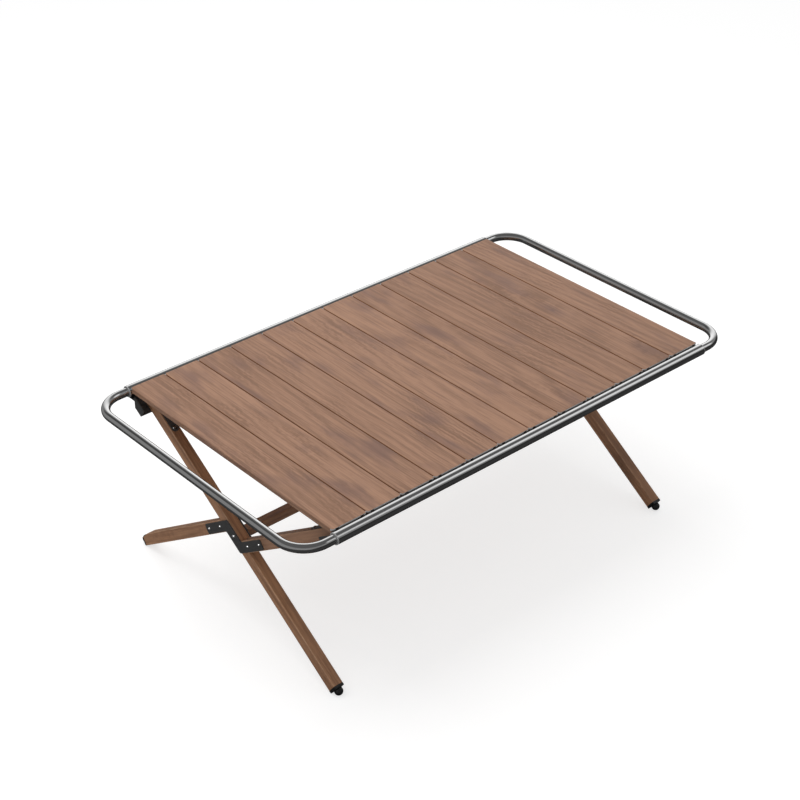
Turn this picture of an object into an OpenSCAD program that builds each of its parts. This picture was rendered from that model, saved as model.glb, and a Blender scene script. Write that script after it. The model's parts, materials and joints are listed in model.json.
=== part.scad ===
// Roll top camp table: a mat of wooden slats on a steel rail frame, carried by crossed wooden legs.
// X runs along the rails, Y from the near rail to the far rail, Z up from the floor.

/* [Table top] */
// Height of the slat tops above the floor
table_h = 446; // [400:1:520]
// Distance from slat to slat
slat_pitch = 85; // [78:0.5:90]
// Seam between two slats
slat_gap = 1; // [0.6:0.1:2]
// Length of a slat, across the table
slat_len = 645; // [600:1:700]
// Thickness of a slat
slat_t = 12; // [11:0.5:15]
// Thickness of the lip of a slat that reaches over the rail
slat_lip_t = 4.5; // [4:0.5:8]
// Rounding of the long slat edges
slat_edge_r = 2; // [1:0.25:3]
// Rounding of the slat corners, seen from above
slat_corner_r = 5; // [3:0.5:8]
// Diameter of the elastic cord that strings the slats
cord_d = 5; // [4:0.5:6]
// Distance of each cord from the middle of the table
cord_y = 200; // [150:5:240]
// Depth of the cord bore in each end slat
cord_end_depth = 48; // [30:1:60]

/* [Rails] */
// Diameter of the bent end tubes
tube_d = 19; // [16:0.5:22]
// Wall of the bent end tubes
tube_wall = 1.2; // [1:0.1:2]
// Wall of the rail tube that the end tube slides in
rail_wall = 2.92; // [1.2:0.02:3.4]
// Overhang of a rail past the end slat
rail_over = 3.5; // [2:0.5:8]
// Gap between a slat's end and the rail
slat_end_gap = 0.5; // [0.4:0.1:2]
// Gap between a slat's lip and the rail
slat_lip_gap = 1.2; // [0.8:0.1:2]
// Width of the ledge that carries the slat ends
ledge_w = 30; // [24:1:40]
// Thickness of the ledge
ledge_t = 2.5; // [2:0.25:3]

/* [End tubes] */
// Reach of the end bar past the rail, to the bar's axis
bar_reach = 80; // [70:1:95]
// Bend radius of the end tubes, at the tube's axis
bend_r = 60; // [45:1:65]
// Length of tube inside each rail
insert_len = 100; // [70:5:140]
// Length of the plug that stops the end tube inside the rail
stop_plug_len = 12; // [8:1:20]

/* [Legs] */
// Slope of the legs from the floor
leg_angle = 34.3; // [32:0.1:37]
// Thickness of a leg, along the rails
leg_t = 23.5; // [18:0.5:28]
// Depth of a leg, across the leg
leg_d = 27; // [26:0.5:31]
// Rounding of the leg edges
leg_edge_r = 2; // [1:0.25:3]
// Distance from the rail's end to the leg
leg_inset = 29; // [26:1:40]
// Offset of each half of the split leg from the pivot
leg_offset = 25.6; // [25:0.1:28]
// Distance from the rail's axis inwards to the point where the leg's axis meets the ledge
leg_lean = 5.1; // [3:0.1:8]
// Distance from the rail's axis inwards to the upright face of the leg's top
seat_in = 22.5; // [19:0.5:26]
// Length of the bevel above the foot of the split leg
foot_bevel_len = 24; // [15:1:60]
// Depth of the bevel above the foot of the split leg
foot_bevel_d = 6; // [4:0.5:9]
// Width and height of the stretcher between the two leg pairs
stretcher_w = 20; // [18:0.5:26]

/* [Leg shoes] */
// Sheet thickness of a leg shoe
shoe_t = 2.5; // [2:0.25:3]
// Width of a leg shoe
shoe_w = 54; // [44:1:60]
// Reach of the shoe past its inner cheek
shoe_lip = 2.3; // [1:0.1:6]
// Length of the shoe under the leg, from the leg's upright face
shoe_grip = 22; // [18:1:30]
// Rise of the shoe's cheeks past the leg's middle
cheek_rise = 5; // [3:1:14]
// Distance from the leg's heel to the upper end of the strap
strap_drop = 12; // [8:1:20]
// Length of the strap on the upper face of the leg
strap_len = 80; // [50:1:90]
// Width of the strap
strap_w = 17; // [14:0.5:18]
// Thickness of the strap
strap_t = 2; // [1.5:0.25:3]
// Diameter of the strap's bolt
strap_bolt_d = 5; // [4:0.5:6]

/* [Hinge plates] */
// Thickness of a hinge plate
plate_t = 2.5; // [2:0.25:4]
// Width of an arm of the hinge plate
plate_arm_w = 23; // [20:0.5:26]
// Reach of an arm from the pivot
plate_reach = 97; // [85:1:120]
// Rounding of the plate's corners
plate_r = 4.5; // [2:0.5:6]
// Diameter of the plate rivets
rivet_d = 5; // [4:0.5:6]
// Distance of the inner rivets from the pivot, along the arm
rivet_in = 39; // [34:1:46]
// Distance of the outer rivets from the pivot, along the arm
rivet_out = 86; // [75:1:90]
// Diameter of the pivot bolt
pivot_d = 8; // [6:0.5:10]
// Length of the pivot bolt inside the stretcher
pivot_grip = 40; // [30:1:60]

/* [Feet] */
// Thickness of the plate on the end of a leg
foot_plate_t = 3.5; // [2.5:0.25:5]
// Diameter of the ball foot
ball_d = 19; // [17:0.5:22]
// Distance from the foot plate to the middle of the ball
ball_out = 6.5; // [5.5:0.25:7.5]
// Diameter of the ball's stud in the leg
stud_d = 8; // [6:0.5:10]
// Length of the stud in the leg
stud_len = 22; // [15:1:30]

/* [Fits] */
// Radial clearance of a sliding or turning fit
run_clear = 0.08; // [0.04:0.01:0.1]
// Radial clearance of the elastic cord in its bore
cord_clear = 0.3; // [0.25:0.05:0.6]
// Clearance beside the faces of moving pieces
side_clear = 0.2; // [0.1:0.05:0.4]
// Clearance between the split leg's inner ends and the whole leg
split_clear = 1.25; // [0.75:0.25:2]
// Clearance of fixed pieces that only touch
touch = 0.02; // [0.01:0.01:0.05]

/* [Hidden] */
$fn = 48;
slat_count = 12;
slat_w = slat_pitch - slat_gap;
top_len = slat_count * slat_pitch - slat_gap;
slat_mid_z = table_h - slat_t / 2;
knot_d = 1.5 * cord_d;
knot_pocket_d = 1.6 * knot_d;
knot_pocket_depth = slat_t / 2 + knot_d / 2 + 0.3;
tube_r = tube_d / 2;
rail_bore_r = tube_r + run_clear;
rail_r = rail_bore_r + rail_wall;
rail_half = top_len / 2 + rail_over;
rail_y = slat_len / 2 + slat_end_gap + rail_r;
ledge_top = table_h - slat_t;
seat_z = ledge_top - ledge_t;
rail_z = ledge_top - ledge_t / 2;
rail_bottom = rail_z - rail_r;
// The lip of a slat reaches over the shoulder of the rail
shoulder = sqrt(max(0, pow(rail_r, 2) - pow(table_h - slat_lip_t - rail_z, 2)));
slat_lip = max(0, rail_r + slat_end_gap - shoulder - slat_lip_gap);
bar_x = rail_half + bar_reach;
tube_in_x = rail_half - insert_len;

leg_x = rail_half - leg_inset;
// The ledge stops short of the rail's ends, a little past the legs
ledge_half = leg_x + 6;
leg_mid_x = leg_x - leg_t / 2;
pivot_y = leg_offset / (2 * sin(leg_angle));
pivot_z = seat_z - (rail_y - leg_lean - pivot_y) * tan(leg_angle);
seat_y = rail_y - seat_in;
// Distances along a leg from the pivot
foot_a = (pivot_z - ball_d / 2) / sin(leg_angle);
foot_b = (pivot_z - ball_d / 2 + leg_offset * cos(leg_angle)) / sin(leg_angle);
foot_stack = ball_out + foot_plate_t;
// The origin lies on the floor under the middle of the whole table, feet included
foot_b_y = pivot_y + foot_b * cos(leg_angle) + leg_offset * sin(leg_angle);
frame_y = (rail_y + rail_r - foot_b_y - ball_d / 2) / 2;
// Where the lower face of the whole leg meets the upright face of its top
heel_along = (seat_y - pivot_y - leg_d / 2 * sin(leg_angle)) / cos(leg_angle);
strap_top = heel_along - strap_drop;
strap_bolt_along = strap_top - strap_len + strap_w / 2;
leg_reach = 2 * rail_y;
plate_x = leg_x + plate_t;
inner_plate_x = leg_x - leg_t - plate_t;
rivet_head_d = 1.5 * rivet_d;
pivot_head_d = 1.2 * pivot_d;
rivet_head_h = 2.2;
washer_t = 1.5;
stretcher_half = inner_plate_x - washer_t - side_clear;
wood_top = [0.61, 0.47, 0.38];
wood_leg = [0.45, 0.32, 0.24];
steel = [0.72, 0.73, 0.74];
black = [0.17, 0.18, 0.18];

function slat_x(n) = (n - (slat_count + 1) / 2) * slat_pitch;
function knot_x(side) = side * (top_len / 2 - slat_w + cord_end_depth);

// Moves the table, drawn about the middle of its top, to the origin of its frame.
module framed() {
    translate([0, frame_y, 0]) children();
}

// Draws a flat outline of the Y-Z plane as a plate from x to x + t.
module plate_yz(x, t) {
    translate([x, 0, 0])
        rotate([90, 0, 90])
            linear_extrude(t) children();
}

// Both ends of the table: the piece is drawn on the right and mirrored to the left.
module at_end(side) {
    scale_x = side == "left" ? 1 : 0;
    mirror([scale_x, 0, 0]) children();
}

// The near half of the frame is the far half mirrored.
module at_edge(edge) {
    flip = edge == "near" ? 1 : 0;
    mirror([0, flip, 0]) children();
}

// Flat frame of the whole leg: pivot at the origin, u up along the leg to the far rail.
module leg_frame() {
    translate([pivot_y, pivot_z])
        rotate(leg_angle) children();
}

// Flat frame of the split leg: pivot at the origin, u up along the leg to the near rail.
module split_frame() {
    translate([pivot_y, pivot_z])
        rotate(180 - leg_angle) children();
}

// Flat strip from (u0, v0) to (u1, v1).
module strip(u0, u1, v0, v1) {
    translate([u0, v0]) square([u1 - u0, v1 - v0]);
}

// Flat rectangle with round corners, centred.
module round_rect(w, h, r) {
    square([w - 2 * r, h], center = true);
    square([w, h - 2 * r], center = true);
    for (sx = [-1, 1], sy = [-1, 1])
        translate([sx * (w / 2 - r), sy * (h / 2 - r)]) circle(r);
}

// A cylinder along X from x0 to x1.
module rod_x(x0, x1, y, z, r) {
    translate([x0, y, z])
        rotate([0, 90, 0]) cylinder(h = x1 - x0, r = r);
}

// Slats, strung on two elastic cords. Their ends are cut back below the lip.
module slat(n) {
    first = n == 1;
    last = n == slat_count;
    full_len = slat_len + 2 * slat_lip;
    x0 = slat_x(n) - slat_w / 2;
    x1 = slat_x(n) + slat_w / 2;
    bore_from = first ? x1 - cord_end_depth : x0 - 1;
    bore_to = last ? x0 + cord_end_depth : x1 + 1;
    color(wood_top)
    difference() {
        intersection() {
            translate([slat_x(n), 0, slat_mid_z])
                rotate([90, 0, 0])
                    linear_extrude(full_len, center = true) round_rect(slat_w, slat_t, slat_edge_r);
            translate([slat_x(n), 0, slat_mid_z - slat_t])
                linear_extrude(2 * slat_t) round_rect(slat_w, full_len, slat_corner_r);
        }
        for (edge = ["near", "far"])
            at_edge(edge)
                plate_yz(x0 - 1, slat_w + 2)
                    strip(slat_len / 2, slat_len, table_h - 2 * slat_t, table_h - slat_lip_t);
        for (sy = [-1, 1])
            rod_x(bore_from, bore_to, sy * cord_y, slat_mid_z, cord_d / 2 + cord_clear);
        if (first || last)
            for (sy = [-1, 1])
                translate([knot_x(first ? -1 : 1), sy * cord_y, table_h - slat_t - 1])
                    cylinder(h = knot_pocket_depth + 1, d = knot_pocket_d);
    }
}

module cord(edge) {
    sy = edge == "near" ? -1 : 1;
    reach = knot_x(1) - knot_d / 2 - touch;
    color([0.12, 0.12, 0.12])
    rod_x(-reach, reach, sy * cord_y, slat_mid_z, cord_d / 2);
}

// The knots at the ends of the cords sit in pockets, open at the underside of the end slats.
module cord_knots(side) {
    sx = side == "left" ? -1 : 1;
    color([0.12, 0.12, 0.12])
    for (sy = [-1, 1])
        translate([knot_x(sx), sy * cord_y, slat_mid_z])
            rotate([0, 90, 0]) cylinder(h = knot_d, d = knot_d, center = true);
}

// Rails: a thick tube, and a ledge that carries the slat ends.
module rail(edge) {
    color(steel)
    at_edge(edge)
    plate_yz(-rail_half, 2 * rail_half)
        translate([rail_y, rail_z])
            difference() {
                circle(rail_r);
                circle(rail_bore_r);
            }
}

module ledge(edge) {
    color(black)
    at_edge(edge)
    plate_yz(-ledge_half, 2 * ledge_half)
        strip(rail_y - rail_r - ledge_w, rail_y - rail_r - touch, seat_z, ledge_top);
}

// A leg shoe: a bent sheet under the rail, closed by a cheek beside the leg and one at its outer end.
module shoe(edge, side) {
    inner_v = -leg_d / 2 - side_clear;
    wall_y = seat_y + side_clear;
    inner_cheek_x = leg_x - leg_t - side_clear - shoe_t;
    shoe_x = inner_cheek_x - shoe_lip;
    heel_z = pivot_z + heel_along * sin(leg_angle) - leg_d / 2 * cos(leg_angle);
    color(black)
    at_edge(edge) at_end(side) {
        plate_yz(shoe_x, shoe_w) {
            leg_frame() strip(heel_along - shoe_grip, heel_along, inner_v - shoe_t, inner_v);
            strip(wall_y, wall_y + shoe_t, heel_z - shoe_t * 1.2, rail_bottom - touch);
            strip(wall_y, rail_y, rail_bottom - touch - shoe_t, rail_bottom - touch);
        }
        for (x = [shoe_x + shoe_w - shoe_t, inner_cheek_x])
            plate_yz(x, shoe_t)
                intersection() {
                    leg_frame() strip(heel_along - shoe_grip, leg_reach, inner_v - shoe_t, cheek_rise);
                    strip(0, wall_y + shoe_t, 0, seat_z - touch);
                }
    }
}

// Plugs inside the rails that the end tubes are pushed up against.
module tube_stop_plugs() {
    plug_x = tube_in_x - side_clear;
    color(steel)
    for (side = ["left", "right"], edge = ["near", "far"])
        at_end(side) at_edge(edge)
            rod_x(plug_x - stop_plug_len, plug_x, rail_y, rail_z, rail_bore_r - run_clear);
}

// Flat ring: the section of an end tube.
module tube_ring() {
    difference() {
        circle(tube_r);
        circle(tube_r - tube_wall);
    }
}

// An end tube: two arms in the rails, two bends and the end bar.
module end_tube(side) {
    straight = rail_y - bend_r;
    color(steel)
    at_end(side) {
        for (edge = ["near", "far"])
            at_edge(edge) {
                plate_yz(tube_in_x, bar_x - bend_r - tube_in_x)
                    translate([rail_y, rail_z]) tube_ring();
                translate([bar_x - bend_r, straight, rail_z])
                    rotate_extrude(angle = 90) translate([bend_r, 0]) tube_ring();
            }
        translate([bar_x, straight, rail_z])
            rotate([90, 0, 0]) linear_extrude(2 * straight) tube_ring();
    }
}

// A bar of leg wood in the leg's own frame, from u0 to u1, with eased edges.
module leg_bar(u0, u1, v, t) {
    translate([leg_mid_x, pivot_y, pivot_z])
        rotate([leg_angle, 0, 0])
            translate([0, u0, v])
                rotate([-90, 0, 0])
                    linear_extrude(u1 - u0) round_rect(t, leg_d, leg_edge_r);
}

// The same bar in the split leg's frame, which is the mirror image of the leg's frame.
module split_bar(u0, u1, v, t) {
    translate([0, 2 * pivot_y, 0])
        mirror([0, 1, 0]) leg_bar(u0, u1, v, t);
}

// Room for the ball foot's stud in the end of a leg, seen from the pivot.
module stud_bore(u_end) {
    translate([leg_mid_x, pivot_y, pivot_z])
        rotate([leg_angle, 0, 0])
            translate([0, -u_end - 1, 0])
                rotate([-90, 0, 0]) cylinder(h = stud_len + 1.5, d = stud_d + 2 * run_clear);
}

// The end of a leg under the ledge: level on top and upright at the rail.
module leg_top_cut() {
    plate_yz(0, 2 * rail_half)
        strip(-leg_reach, seat_y, -leg_reach, seat_z - side_clear);
}

module strap_bolt_bore() {
    translate([leg_mid_x, pivot_y, pivot_z])
        rotate([leg_angle, 0, 0])
            translate([0, strap_bolt_along, 0])
                cylinder(h = leg_d, d = strap_bolt_d + 2 * run_clear);
}

module whole_leg(side) {
    foot_end = foot_a - foot_stack;
    color(wood_leg)
    at_end(side)
    difference() {
        intersection() {
            leg_bar(-foot_end, leg_reach, 0, leg_t - 2 * side_clear);
            leg_top_cut();
        }
        rod_x(leg_x - leg_t, leg_x, pivot_y, pivot_z, pivot_d / 2 + run_clear);
        stud_bore(foot_end);
        strap_bolt_bore();
    }
}

// Rivet places along the arm, on the split leg's own axis.
module at_rivets(signs) {
    for (s = signs, u = [rivet_in, rivet_out])
        translate([0, pivot_y - s * u * cos(leg_angle) - s * leg_offset * sin(leg_angle),
                   pivot_z + s * u * sin(leg_angle) - s * leg_offset * cos(leg_angle)])
            children();
}

module rivet_bores(signs) {
    at_rivets(signs)
        rod_x(inner_plate_x - 1, plate_x + 1, 0, 0, rivet_d / 2 + run_clear);
}

// Removes what lies on the far side or the near side of the whole leg.
module clear_of_leg(keep_lower) {
    gap = leg_d / 2 + split_clear;
    v0 = keep_lower ? -gap : -leg_reach;
    v1 = keep_lower ? leg_reach : gap;
    plate_yz(0, 2 * rail_half)
        leg_frame() strip(-leg_reach, leg_reach, v0, v1);
}

module split_leg_lower(side) {
    foot_end = foot_b - foot_stack;
    color(wood_leg)
    at_end(side)
    difference() {
        split_bar(-foot_end, leg_offset, leg_offset, leg_t);
        clear_of_leg(true);
        plate_yz(0, 2 * rail_half)
            split_frame()
                polygon([[-foot_end - 1, -leg_offset - leg_d / 2 + foot_bevel_d],
                         [-foot_end, -leg_offset - leg_d / 2 + foot_bevel_d],
                         [-foot_end + foot_bevel_len, -leg_offset - leg_d / 2],
                         [-foot_end + foot_bevel_len, -leg_offset - leg_d],
                         [-foot_end - 1, -leg_offset - leg_d]]);
        translate([0, leg_offset * sin(leg_angle), leg_offset * cos(leg_angle)])
            translate([0, 2 * pivot_y, 0])
                mirror([0, 1, 0]) stud_bore(foot_end);
        rivet_bores([-1]);
    }
}

module split_leg_upper(side) {
    color(wood_leg)
    at_end(side)
    difference() {
        intersection() {
            split_bar(-leg_offset, leg_reach, -leg_offset, leg_t);
            mirror([0, 1, 0]) leg_top_cut();
        }
        clear_of_leg(false);
        rivet_bores([1]);
        mirror([0, 1, 0]) strap_bolt_bore();
    }
}

// Flat outline of a hinge plate: two arms on the halves of the split leg, joined across the whole leg.
module hinge_plate_outline() {
    diagonal = 2 * (leg_offset + plate_arm_w / 2) * sin(2 * leg_angle);
    split_frame()
        for (s = [-1, 1])
            translate([s * plate_reach / 2, s * leg_offset])
                round_rect(plate_reach, plate_arm_w, plate_r);
    leg_frame()
        round_rect(diagonal, 2 * (leg_offset + plate_arm_w / 2) * cos(2 * leg_angle), plate_r);
}

module hinge_plate(side, face) {
    x = face == "outer" ? leg_x : inner_plate_x;
    color(black)
    at_end(side)
    difference() {
        plate_yz(x, plate_t) hinge_plate_outline();
        rivet_bores([-1, 1]);
        rod_x(x - 1, x + plate_t + 1, pivot_y, pivot_z, pivot_d / 2 + run_clear);
    }
}

// Domed head of height h on a face at x, pointing to +X (dir 1) or -X (dir -1).
module dome_x(x, dir, d, h) {
    ball = (d * d / 4 + h * h) / (2 * h);
    rim_angle = asin(d / 2 / ball);
    steps = 5;
    crown = [for (i = [0 : steps]) rim_angle * (1 - i / steps)];
    translate([x, 0, 0])
        rotate([0, dir * 90, 0])
            rotate_extrude()
                polygon(concat([[0, 0]], [for (a = crown) [ball * sin(a), ball * cos(a) - ball + h]]));
}

module plate_rivets(side) {
    color(steel)
    at_end(side)
    at_rivets([-1, 1]) {
        rod_x(inner_plate_x - touch, plate_x + touch, 0, 0, rivet_d / 2);
        dome_x(plate_x + touch, 1, rivet_head_d, rivet_head_h);
        dome_x(inner_plate_x - touch, -1, rivet_head_d, rivet_head_h);
    }
}

module pivot_bolt(side) {
    head_x = plate_x + side_clear;
    color(steel)
    at_end(side)
    translate([0, pivot_y, pivot_z]) {
        rod_x(stretcher_half - pivot_grip, head_x, 0, 0, pivot_d / 2);
        dome_x(head_x, 1, pivot_head_d, rivet_head_h);
    }
}

// Washers between the inner hinge plates and the stretcher.
module pivot_washers() {
    color(steel)
    for (side = ["left", "right"])
        at_end(side)
        translate([0, pivot_y, pivot_z])
        difference() {
            rod_x(stretcher_half + touch, stretcher_half + washer_t, 0, 0, stretcher_w / 2 - 1);
            rod_x(stretcher_half - 1, stretcher_half + washer_t + 1, 0, 0, pivot_d / 2 + run_clear);
        }
}

module stretcher() {
    color(wood_leg)
    difference() {
        plate_yz(-stretcher_half, 2 * stretcher_half)
            translate([pivot_y, pivot_z]) round_rect(stretcher_w, stretcher_w, leg_edge_r);
        for (side = ["left", "right"])
            at_end(side)
                rod_x(stretcher_half - pivot_grip - 1, stretcher_half + 1, pivot_y, pivot_z,
                      pivot_d / 2 + run_clear);
    }
}

// Frame on the upper face of a leg's top, with the strap's bolt at its origin.
module at_strap(edge, side) {
    at_edge(edge) at_end(side)
        translate([leg_mid_x, pivot_y, pivot_z])
            rotate([leg_angle, 0, 0])
                translate([0, strap_bolt_along, leg_d / 2 + touch]) children();
}

// A strap on the upper face of a leg, with a round lower end.
module strap(edge, side) {
    end_r = strap_w / 2;
    color(black)
    at_strap(edge, side)
        difference() {
            linear_extrude(strap_t) {
                circle(end_r);
                strip(-end_r, end_r, 0, strap_top - strap_bolt_along);
            }
            translate([0, 0, -1]) cylinder(h = strap_t + 2, d = strap_bolt_d + 2 * run_clear);
        }
}

module strap_bolt(edge, side) {
    head_v = strap_t + touch;
    color(black)
    at_strap(edge, side) {
        translate([0, 0, 1 - leg_d / 2]) cylinder(h = head_v + leg_d / 2 - 1, d = strap_bolt_d);
        translate([0, 0, head_v])
            rotate([0, -90, 0]) dome_x(0, 1, 2 * strap_bolt_d, rivet_head_h);
    }
}

// Moves a foot drawn at the end of the whole leg to any of the four feet.
module at_foot(edge, side) {
    end_u = edge == "near" ? foot_a : foot_b;
    at_end(side)
    translate([leg_mid_x, 0, 0])
        if (edge == "near")
            translate([0, pivot_y, pivot_z])
                rotate([leg_angle, 0, 0]) translate([0, -end_u, 0]) children();
        else
            translate([0, pivot_y + leg_offset * sin(leg_angle), pivot_z + leg_offset * cos(leg_angle)])
                mirror([0, 1, 0])
                    rotate([leg_angle, 0, 0]) translate([0, -end_u, 0]) children();
}

module foot_plate(edge, side) {
    bevel = edge == "near" ? 0 : foot_bevel_d;
    color(black)
    at_foot(edge, side)
        difference() {
            translate([0, foot_stack - touch, 0])
                rotate([90, 0, 0])
                    linear_extrude(foot_plate_t - touch)
                        translate([0, -bevel / 2]) round_rect(leg_t, leg_d - bevel, leg_edge_r);
            rotate([-90, 0, 0]) cylinder(h = foot_stack + 1, d = stud_d + 2 * run_clear);
        }
}

module ball_foot(edge, side) {
    color(black)
    at_foot(edge, side) {
        intersection() {
            sphere(d = ball_d);
            translate([-ball_d, -ball_d, -ball_d])
                cube([2 * ball_d, ball_d + ball_out - touch, 2 * ball_d]);
        }
        rotate([-90, 0, 0]) cylinder(h = foot_stack + stud_len, d = stud_d);
    }
}

framed() rail("near");  // near_rail
framed() rail("far");  // far_rail
framed() ledge("near");  // near_ledge
framed() ledge("far");  // far_ledge
framed() shoe("near", "left");  // near_left_shoe
framed() shoe("near", "right");  // near_right_shoe
framed() shoe("far", "left");  // far_left_shoe
framed() shoe("far", "right");  // far_right_shoe
framed() tube_stop_plugs();
framed() end_tube("left");  // left_end_tube
framed() end_tube("right");  // right_end_tube
framed() slat(1);  // slat_01
framed() slat(2);  // slat_02
framed() slat(3);  // slat_03
framed() slat(4);  // slat_04
framed() slat(5);  // slat_05
framed() slat(6);  // slat_06
framed() slat(7);  // slat_07
framed() slat(8);  // slat_08
framed() slat(9);  // slat_09
framed() slat(10);  // slat_10
framed() slat(11);  // slat_11
framed() slat(12);  // slat_12
framed() cord("near");  // near_cord
framed() cord("far");  // far_cord
framed() cord_knots("left");  // left_cord_knots
framed() cord_knots("right");  // right_cord_knots
framed() whole_leg("left");  // left_leg
framed() whole_leg("right");  // right_leg
framed() split_leg_upper("left");  // left_split_leg_upper
framed() split_leg_upper("right");  // right_split_leg_upper
framed() split_leg_lower("left");  // left_split_leg_lower
framed() split_leg_lower("right");  // right_split_leg_lower
framed() hinge_plate("left", "outer");  // left_outer_hinge_plate
framed() hinge_plate("left", "inner");  // left_inner_hinge_plate
framed() hinge_plate("right", "outer");  // right_outer_hinge_plate
framed() hinge_plate("right", "inner");  // right_inner_hinge_plate
framed() plate_rivets("left");  // left_plate_rivets
framed() plate_rivets("right");  // right_plate_rivets
framed() pivot_bolt("left");  // left_pivot_bolt
framed() pivot_bolt("right");  // right_pivot_bolt
framed() pivot_washers();
framed() stretcher();
framed() strap("near", "left");  // near_left_strap
framed() strap("near", "right");  // near_right_strap
framed() strap("far", "left");  // far_left_strap
framed() strap("far", "right");  // far_right_strap
framed() strap_bolt("near", "left");  // near_left_strap_bolt
framed() strap_bolt("near", "right");  // near_right_strap_bolt
framed() strap_bolt("far", "left");  // far_left_strap_bolt
framed() strap_bolt("far", "right");  // far_right_strap_bolt
framed() foot_plate("near", "left");  // near_left_foot_plate
framed() foot_plate("near", "right");  // near_right_foot_plate
framed() foot_plate("far", "left");  // far_left_foot_plate
framed() foot_plate("far", "right");  // far_right_foot_plate
framed() ball_foot("near", "left");  // near_left_ball_foot
framed() ball_foot("near", "right");  // near_right_ball_foot
framed() ball_foot("far", "left");  // far_left_ball_foot
framed() ball_foot("far", "right");  // far_right_ball_foot
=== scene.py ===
# %% [markdown]
# A low camp table: twelve wooden slats on hidden elastic cords lie between two steel rails,
# bent steel tubes close both ends, and crossed wooden legs carry it on ball feet.
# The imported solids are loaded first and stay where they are. New pieces are modelled only where
# a smoother or finer shape shows, and every surface gets a finish made of nodes.

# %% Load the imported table
import json
import math

import bmesh
import bpy
from mathutils import Matrix, Vector


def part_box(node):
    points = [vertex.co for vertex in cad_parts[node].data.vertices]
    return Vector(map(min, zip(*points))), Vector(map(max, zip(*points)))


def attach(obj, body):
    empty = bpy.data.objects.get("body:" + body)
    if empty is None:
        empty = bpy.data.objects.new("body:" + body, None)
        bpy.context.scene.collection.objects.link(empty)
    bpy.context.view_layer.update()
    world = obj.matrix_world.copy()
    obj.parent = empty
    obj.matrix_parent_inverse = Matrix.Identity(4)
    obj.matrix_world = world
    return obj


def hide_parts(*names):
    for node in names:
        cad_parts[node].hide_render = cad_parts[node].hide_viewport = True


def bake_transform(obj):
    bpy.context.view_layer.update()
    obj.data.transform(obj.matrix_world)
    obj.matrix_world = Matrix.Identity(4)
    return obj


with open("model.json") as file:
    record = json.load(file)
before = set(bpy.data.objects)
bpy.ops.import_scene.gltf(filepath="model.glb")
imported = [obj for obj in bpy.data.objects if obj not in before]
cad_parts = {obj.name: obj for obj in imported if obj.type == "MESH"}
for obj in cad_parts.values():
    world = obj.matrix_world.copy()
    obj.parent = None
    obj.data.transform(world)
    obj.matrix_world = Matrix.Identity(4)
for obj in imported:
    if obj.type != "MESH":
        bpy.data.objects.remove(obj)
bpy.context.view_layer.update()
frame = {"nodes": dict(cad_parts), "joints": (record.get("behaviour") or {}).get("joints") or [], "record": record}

behaviour = frame["record"]["behaviour"]
body_of = {node: body for body, nodes in behaviour["bodies"].items() for node in nodes}
slot_of = {part["node"]: part["material_slot"] for part in frame["record"]["subparts"]}

# %% [markdown]
# The camera stands where the photographer stood: in front of the left end, looking down at the top.
# A long lens keeps the rails nearly parallel, as they are in the picture.

# %% Camera
camera_data = bpy.data.cameras.new("camera")
camera_data.sensor_width = 36
camera_data.lens = 77.695
camera = bpy.data.objects.new("camera", camera_data)
camera.location = (-2.09702, -2.3199, 2.33528)
camera.rotation_euler = [math.radians(a) for a in (57.5635, -0.1423, -41.503)]
bpy.context.scene.collection.objects.link(camera)
bpy.context.scene.camera = camera
bpy.context.scene.view_settings.view_transform = "Standard"
print("camera looks from", [round(x, 2) for x in camera.location])

# %% [markdown]
# Materials are graphs of nodes. One small helper adds a node, sets its options and fills its inputs,
# either with a plain value or with a link from another node's output. Two more shorten the
# commonest nodes, sums and colour mixes.

# %% Helpers for node graphs
def add_node(tree, kind, inputs=None, **options):
    made = tree.nodes.new(kind)
    for name, value in options.items():
        setattr(made, name, value)
    for key, value in (inputs or {}).items():
        if isinstance(value, bpy.types.NodeSocket):
            tree.links.new(value, made.inputs[key])
        else:
            made.inputs[key].default_value = value
    return made


def sum_of(tree, operation, *values):
    made = add_node(tree, "ShaderNodeMath", dict(enumerate(values)), operation=operation)
    return made.outputs[0]


def mix_colours(tree, factor, first, second):
    inputs = {0: factor, 6: first, 7: second}
    return add_node(tree, "ShaderNodeMix", inputs, data_type="RGBA").outputs[2]


def fade(tree, value, low, high, to_low, to_high):
    inputs = {0: value, 1: low, 2: high, 3: to_low, 4: to_high}
    made = add_node(tree, "ShaderNodeMapRange", inputs, interpolation_type="SMOOTHSTEP")
    return made.outputs[0]


def stretch(tree, vector, factors):
    made = add_node(tree, "ShaderNodeVectorMath", {0: vector, 1: factors}, operation="MULTIPLY")
    return made.outputs[0]


def noise(tree, vector, scale, detail):
    inputs = {"Vector": vector, "Scale": scale, "Detail": detail}
    return add_node(tree, "ShaderNodeTexNoise", inputs).outputs["Fac"]


def new_group(name, inputs, outputs):
    group = bpy.data.node_groups.new(name, "ShaderNodeTree")
    for label, kind in inputs:
        group.interface.new_socket(label, in_out="INPUT", socket_type=kind)
    for label, kind in outputs:
        group.interface.new_socket(label, in_out="OUTPUT", socket_type=kind)
    start = group.nodes.new("NodeGroupInput").outputs
    return group, start, group.nodes.new("NodeGroupOutput").inputs


print("node helpers ready")

# %% [markdown]
# The slats and legs are stained hardwood. A board is a slice through a trunk, so its figure is made
# the same way: rings round a trunk axis that is tilted a little to the board, which gives the long
# arches on a flat-sawn face. Fine fibres, slow changes of tone, greyish clouds where the stain took
# badly and a few small knots lie over that. Each board has a number of its own, which moves the
# slice to another place in the trunk.

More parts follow.
